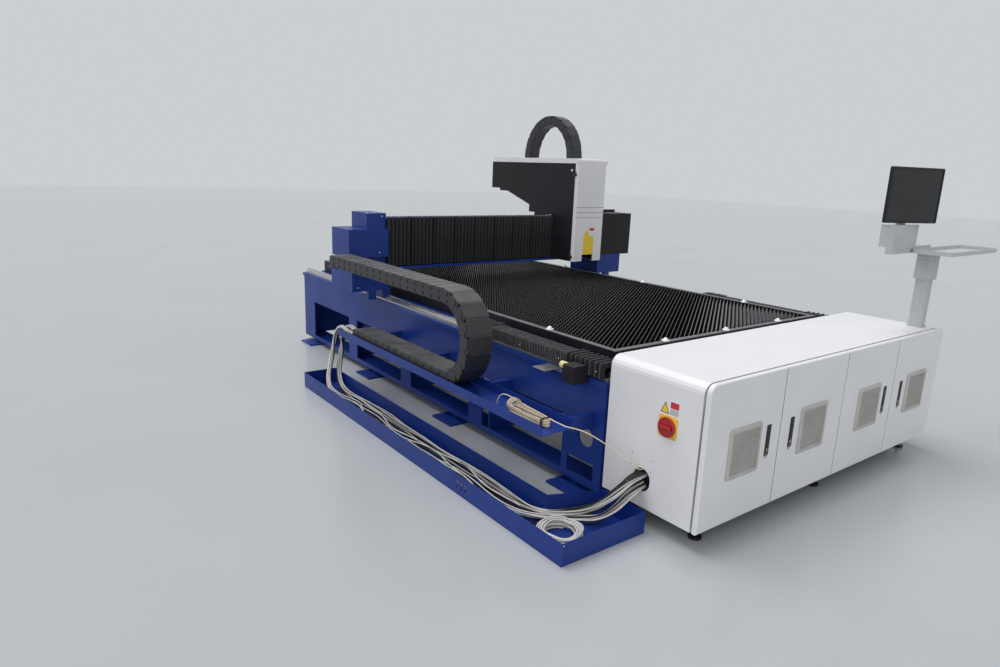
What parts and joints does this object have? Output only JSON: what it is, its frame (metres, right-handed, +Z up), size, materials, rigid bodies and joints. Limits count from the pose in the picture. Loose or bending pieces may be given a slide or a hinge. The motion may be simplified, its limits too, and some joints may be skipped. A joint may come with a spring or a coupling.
{
  "type": "fiber laser cutting machine",
  "caption": "Open-bed fiber laser cutter: toothed slat table, gantry with bellows and covered head, side drag chain, cabinet with filtered doors, monitor stand.",
  "frame": {"origin": "on the floor, at the underside of the pad of the cabinet's middle front levelling foot", "axes": "+X runs along the cabinet from the main switch end to the monitor end, +Y from the cabinet doors over the bed towards the gantry, +Z up"},
  "size_m": [3.512, 4.985, 2.2806],
  "materials": {
    "white_enamel": "semi-gloss white powder coat",
    "blue_enamel": "semi-gloss blue enamel",
    "black_enamel": "black powder coat",
    "black_plastic": "satin black plastic",
    "machined_steel": "machined and oiled steel",
    "mill_steel": "dark hot-rolled steel",
    "bellows_cloth": "black coated cloth",
    "chain_plastic": "matt dark grey nylon",
    "light_plastic": "light grey plastic",
    "grey_enamel": "light grey powder coat",
    "zinc_plate": "zinc plate",
    "red_plastic": "gloss red plastic",
    "yellow_plastic": "gloss yellow plastic",
    "buffer_rubber": "pale yellow polyurethane",
    "cable_jacket": "black cable jacket",
    "grey_cable_jacket": "light grey cable jacket",
    "cream_cable_jacket": "cream cable jacket"
  },
  "bodies": {
    "machine": {"cabinet_shell": "white_enamel", "cabinet_base": "black_enamel", "switch_plate": "yellow_plastic", "mounting_panel": "zinc_plate", "servo_drives": "black_plastic", "laser_source": "grey_enamel", "control_chassis": "black_enamel", "bed_frame": "blue_enamel", "slat_table": "mill_steel", "table_border": "machined_steel", "rail_way_left": "machined_steel", "rail_way_right": "machined_steel", "bellows_left": "bellows_cloth", "bellows_right": "bellows_cloth", "stop_left": "black_enamel", "stop_right": "black_enamel", "buffer_left": "buffer_rubber", "buffer_right": "buffer_rubber", "limit_plate": "zinc_plate", "chain_shelf": "blue_enamel", "cable_trough": "blue_enamel", "chain_lower": "chain_plastic", "monitor_column": "grey_enamel", "cable_bundle_black": "cable_jacket", "cable_bundle_grey": "grey_cable_jacket", "trough_coil": "grey_cable_jacket", "shelf_hank": "cream_cable_jacket", "shelf_lead": "cream_cable_jacket"},
    "cabinet_door_1": {"door_1": "white_enamel", "filter_1": "light_plastic"},
    "cabinet_door_2": {"door_2": "white_enamel", "filter_2": "light_plastic"},
    "cabinet_door_3": {"door_3": "white_enamel", "filter_3": "light_plastic"},
    "cabinet_door_4": {"door_4": "white_enamel", "filter_4": "light_plastic"},
    "door_handle_1": {"lock_1": "black_plastic"},
    "door_handle_2": {"lock_2": "black_plastic"},
    "door_handle_3": {"lock_3": "black_plastic"},
    "door_handle_4": {"lock_4": "black_plastic"},
    "main_switch": {"switch_knob": "red_plastic"},
    "gantry": {"gantry_frame": "blue_enamel", "drive_cover_left": "blue_enamel", "end_box_right": "black_enamel", "y_drive_left": "black_enamel", "y_drive_right": "black_enamel", "beam_bellows_left": "bellows_cloth", "beam_bellows_right": "bellows_cloth", "chain_upper": "chain_plastic"},
    "rolling_loop": {"chain_loop": "chain_plastic"},
    "carriage": {"carriage_frame": "blue_enamel", "head_side_cover": "black_enamel", "head_top_cover": "white_enamel", "head_chain": "chain_plastic"},
    "front_cover": {"head_front_cover": "white_enamel"},
    "z_axis": {"z_slide": "machined_steel", "cutting_head": "zinc_plate"},
    "monitor_arm": {"monitor_bracket": "grey_enamel", "keyboard_tray": "grey_enamel"},
    "screen": {"monitor": "black_plastic"}
  },
  "joints": [
    {"name": "gantry_slide", "type": "slide", "parent": "machine", "child": "gantry", "axis": [0, 1, 0], "range_m": [-2, 1.2], "deforming": ["bellows_left", "bellows_right", "chain_upper"]},
    {"name": "chain_loop_roll", "type": "slide", "parent": "machine", "child": "rolling_loop", "axis": [0, 1, 0], "range_m": [-1, 0.6], "deforming": ["chain_lower", "shelf_hank", "shelf_lead"]},
    {"name": "carriage_slide", "type": "slide", "parent": "gantry", "child": "carriage", "axis": [1, 0, 0], "range_m": [-1.7, 0.245], "deforming": ["beam_bellows_left", "beam_bellows_right"]},
    {"name": "z_axis_slide", "type": "slide", "parent": "carriage", "child": "z_axis", "axis": [0, 0, 1], "range_m": [-0.13, 0]},
    {"name": "front_cover_hinge", "type": "hinge", "parent": "carriage", "child": "front_cover", "pos_m": [0.537, 2.82015, 1], "axis": [0, 0, -1], "range_deg": [0, 110]},
    {"name": "door_1_hinge", "type": "hinge", "parent": "machine", "child": "cabinet_door_1", "pos_m": [-1.232, -0.09, 0.4725], "axis": [0, 0, -1], "range_deg": [0, 110]},
    {"name": "door_2_hinge", "type": "hinge", "parent": "machine", "child": "cabinet_door_2", "pos_m": [-0.018, -0.09, 0.4725], "axis": [0, 0, 1], "range_deg": [0, 78]},
    {"name": "door_3_hinge", "type": "hinge", "parent": "machine", "child": "cabinet_door_3", "pos_m": [0.018, -0.09, 0.4725], "axis": [0, 0, -1], "range_deg": [0, 78]},
    {"name": "door_4_hinge", "type": "hinge", "parent": "machine", "child": "cabinet_door_4", "pos_m": [1.232, -0.09, 0.4725], "axis": [0, 0, 1], "range_deg": [0, 110]},
    {"name": "handle_1_flip", "type": "hinge", "parent": "cabinet_door_1", "child": "door_handle_1", "pos_m": [-0.733, -0.092, 0.406], "axis": [1, 0, 0], "range_deg": [0, 30]},
    {"name": "handle_2_flip", "type": "hinge", "parent": "cabinet_door_2", "child": "door_handle_2", "pos_m": [-0.517, -0.092, 0.406], "axis": [1, 0, 0], "range_deg": [0, 30]},
    {"name": "handle_3_flip", "type": "hinge", "parent": "cabinet_door_3", "child": "door_handle_3", "pos_m": [0.517, -0.092, 0.406], "axis": [1, 0, 0], "range_deg": [0, 30]},
    {"name": "handle_4_flip", "type": "hinge", "parent": "cabinet_door_4", "child": "door_handle_4", "pos_m": [0.733, -0.092, 0.406], "axis": [1, 0, 0], "range_deg": [0, 30]},
    {"name": "main_switch_turn", "type": "hinge", "parent": "machine", "child": "main_switch", "pos_m": [-1.25, 0.122, 0.578], "axis": [-1, 0, 0], "range_deg": [0, 90]},
    {"name": "monitor_swivel", "type": "hinge", "parent": "machine", "child": "monitor_arm", "pos_m": [1.15, 0.035, 1.165], "axis": [0, 0, 1], "range_deg": [-10, 45]},
    {"name": "monitor_tilt", "type": "hinge", "parent": "monitor_arm", "child": "screen", "pos_m": [0.80842, 0.10025, 1.7], "axis": [0.9563, -0.2924, 0], "range_deg": [-15, 8]}
  ],
  "couplings": [
    {"joint": "chain_loop_roll", "follows": "gantry_slide", "ratio": 0.5}
  ]
}
